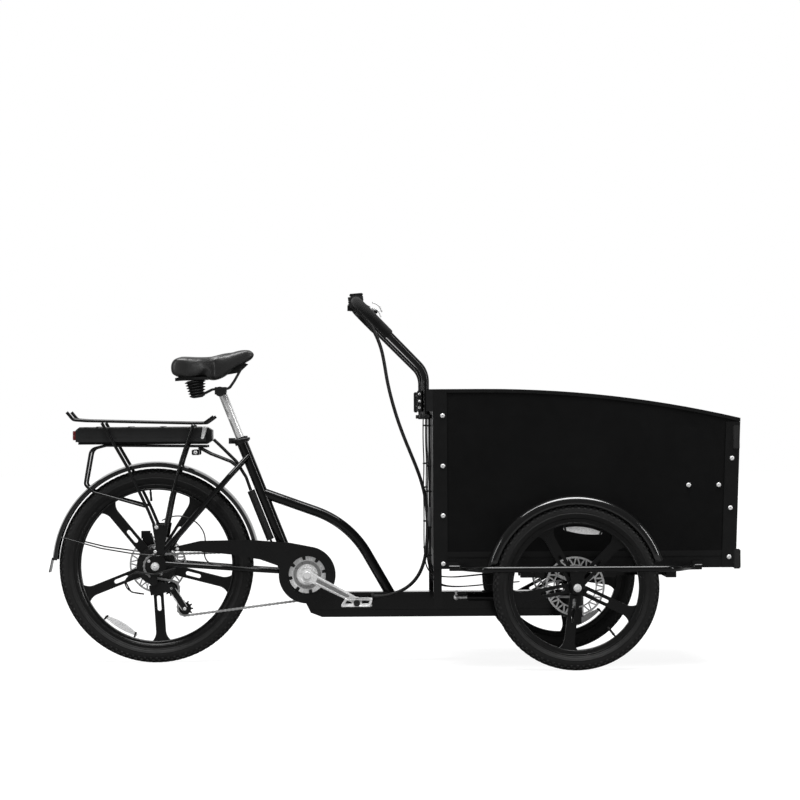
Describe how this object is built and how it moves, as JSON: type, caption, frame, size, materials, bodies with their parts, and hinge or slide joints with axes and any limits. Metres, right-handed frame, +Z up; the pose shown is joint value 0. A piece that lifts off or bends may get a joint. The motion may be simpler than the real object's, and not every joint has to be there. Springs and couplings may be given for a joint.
{
  "type": "electric cargo tricycle",
  "caption": "Front-loading cargo tricycle with a large panelled load box, steered from a bar over it, pedal drive, hub motor and rack battery.",
  "frame": {"origin": "on the ground, midway between the ends of the tricycle and in its middle plane", "axes": "+X forwards, from the rear wheel towards the load box; +Y to the rider's left; +Z up"},
  "size_m": [2.136, 0.892, 1.1482],
  "materials": {
    "frame_paint": "satin black powder coat",
    "rack_paint": "satin black powder coat",
    "bearing_steel": "zinc plated steel",
    "cast_rim": "satin black over cast magnesium",
    "tyre": "matt black rubber",
    "rotor_steel": "ground stainless steel",
    "fender": "gloss black",
    "crank_alloy": "polished",
    "pedal_body": "moulded, non-slip",
    "chain_steel": "oiled",
    "chain_guard": "satin black",
    "control_plastic": "moulded black",
    "caliper": "black anodised",
    "battery_case": "fine texture",
    "red_lens": "clear red",
    "post_chrome": "polished",
    "spring_steel": "dark zinc",
    "saddle_cover": "synthetic leather",
    "control_alloy": "black anodised",
    "box_panel": "matt black",
    "box_profile": "black anodised, light grey rim",
    "foam_grip": "matt foam",
    "grip_rubber": "ribbed rubber",
    "bench_board": "textured board",
    "cable_jacket": "smooth jacket"
  },
  "bodies": {
    "root": {"main_beam": "frame_paint", "seat_tube": "frame_paint", "bottom_bracket": "bearing_steel", "top_tube": "frame_paint", "rear_stays": "frame_paint", "steering_pivot": "frame_paint", "rear_axle": "bearing_steel", "rear_fender": "fender", "chain": "chain_steel", "chain_guard": "chain_guard", "derailleur": "control_plastic", "rear_caliper": "caliper", "rear_rack": "rack_paint", "battery_dock": "control_plastic", "seat_collar": "control_alloy", "cable_loom": "cable_jacket", "frame_cables": "cable_jacket", "damper_cylinder": "frame_paint"},
    "steering": {"box_panels": "box_panel", "box_frame": "box_profile", "box_fittings": "bearing_steel", "steering_frame": "frame_paint", "front_axles": "bearing_steel", "front_fenders": "fender", "front_calipers": "caliper", "side_rails": "frame_paint", "handlebar": "frame_paint", "handlebar_clamps": "control_alloy", "grips": "foam_grip", "controls": "control_plastic", "brake_hoses": "cable_jacket"},
    "front_wheel_right": {"front_rim_right": "cast_rim", "front_tyre_right": "tyre", "front_rotor_right": "rotor_steel"},
    "front_wheel_left": {"front_rim_left": "cast_rim", "front_tyre_left": "tyre", "front_rotor_left": "rotor_steel"},
    "rear_wheel": {"rear_rim": "cast_rim", "rear_tyre": "tyre", "rear_rotor": "rotor_steel"},
    "crankset": {"cranks": "crank_alloy", "chainring": "bearing_steel"},
    "pedal_r": {"pedal_right": "pedal_body"},
    "pedal_l": {"pedal_left": "pedal_body"},
    "sprockets": {"cassette": "bearing_steel"},
    "lower_pulley": {"tension_pulley": "control_plastic"},
    "upper_pulley": {"guide_pulley": "control_plastic"},
    "saddle": {"seatpost": "post_chrome", "saddle_base": "control_plastic", "saddle_springs": "spring_steel", "saddle_cushion": "saddle_cover"},
    "seat_cam": {"seat_lever": "control_alloy"},
    "battery": {"battery_case": "battery_case", "tail_light": "red_lens"},
    "bench_seat": {"bench": "bench_board"},
    "lever_r": {"brake_lever_right": "control_alloy"},
    "lever_l": {"brake_lever_left": "control_alloy"},
    "shifter": {"shifter_ring": "grip_rubber"},
    "assist_key": {"assist_rocker": "grip_rubber"},
    "damper": {"damper_rod": "post_chrome"}
  },
  "joints": [
    {"name": "steer", "type": "hinge", "parent": "root", "child": "steering", "pos_m": [0.578, 0, 0.25], "axis": [0, 0, 1], "range_deg": [-28, 28], "deforming": ["cable_loom"]},
    {"name": "front_wheel_right_spin", "type": "hinge", "parent": "steering", "child": "front_wheel_right", "pos_m": [0.558, -0.38, 0.2515], "axis": [0, 1, 0], "continuous": true},
    {"name": "front_wheel_left_spin", "type": "hinge", "parent": "steering", "child": "front_wheel_left", "pos_m": [0.558, 0.38, 0.2515], "axis": [0, 1, 0], "continuous": true},
    {"name": "rear_wheel_spin", "type": "hinge", "parent": "root", "child": "rear_wheel", "pos_m": [-0.733, 0, 0.305], "axis": [0, 1, 0], "continuous": true},
    {"name": "crank_spin", "type": "hinge", "parent": "root", "child": "crankset", "pos_m": [-0.259, 0, 0.275], "axis": [0, 1, 0], "continuous": true},
    {"name": "pedal_right_spin", "type": "hinge", "parent": "crankset", "child": "pedal_r", "pos_m": [-0.10391, -0.14, 0.19392], "axis": [0, 1, 0], "continuous": true},
    {"name": "pedal_left_spin", "type": "hinge", "parent": "crankset", "child": "pedal_l", "pos_m": [-0.41409, 0.14, 0.35608], "axis": [0, 1, 0], "continuous": true},
    {"name": "sprocket_spin", "type": "hinge", "parent": "root", "child": "sprockets", "pos_m": [-0.733, -0.045, 0.305], "axis": [0, 1, 0], "continuous": true},
    {"name": "lower_pulley_spin", "type": "hinge", "parent": "root", "child": "lower_pulley", "pos_m": [-0.642, -0.045, 0.172], "axis": [0, 1, 0], "continuous": true},
    {"name": "upper_pulley_spin", "type": "hinge", "parent": "root", "child": "upper_pulley", "pos_m": [-0.683, -0.045, 0.236], "axis": [0, 1, 0], "continuous": true},
    {"name": "seatpost_slide", "type": "slide", "parent": "root", "child": "saddle", "axis": [-0.3681, 0, 0.9298], "range_m": [-0.045, 0.12]},
    {"name": "seat_lever_swing", "type": "hinge", "parent": "root", "child": "seat_cam", "pos_m": [-0.49648, -0.019, 0.69505], "axis": [0, 0, -1], "range_deg": [0, 120]},
    {"name": "battery_slide", "type": "slide", "parent": "root", "child": "battery", "axis": [-1, 0, 0], "range_m": [0, 0.42]},
    {"name": "bench_lift", "type": "hinge", "parent": "steering", "child": "bench_seat", "pos_m": [1.038, 0, 0.591], "axis": [0, 1, 0], "range_deg": [0, 85]},
    {"name": "brake_lever_right_pull", "type": "hinge", "parent": "steering", "child": "lever_r", "pos_m": [-0.07176, -0.207, 1.10271], "axis": [-0.4633, 0, -0.8862], "range_deg": [0, 12], "stiffness_Nm_per_rad": 3, "springref_deg": -8.59},
    {"name": "brake_lever_left_pull", "type": "hinge", "parent": "steering", "child": "lever_l", "pos_m": [-0.07176, 0.207, 1.10271], "axis": [0.4633, 0, 0.8862], "range_deg": [0, 12], "stiffness_Nm_per_rad": 3, "springref_deg": -8.59},
    {"name": "shifter_twist", "type": "hinge", "parent": "steering", "child": "shifter", "pos_m": [-0.101, -0.251, 1.118], "axis": [0, 1, 0], "range_deg": [-60, 60]},
    {"name": "assist_rock", "type": "hinge", "parent": "steering", "child": "assist_key", "pos_m": [-0.093, 0.237, 1.138], "axis": [0, 1, 0], "range_deg": [-6, 6], "stiffness_Nm_per_rad": 0.2},
    {"name": "damper_slide", "type": "slide", "parent": "root", "child": "damper", "axis": [1, 0, 0], "range_m": [-0.03, 0.03]}
  ],
  "couplings": [
    {"joint": "sprocket_spin", "follows": "crank_spin", "ratio": 2.1111},
    {"joint": "lower_pulley_spin", "follows": "crank_spin", "ratio": 3.4545},
    {"joint": "upper_pulley_spin", "follows": "crank_spin", "ratio": -3.4545},
    {"joint": "damper_slide", "follows": "steer", "m_per_rad": 0.0576}
  ]
}
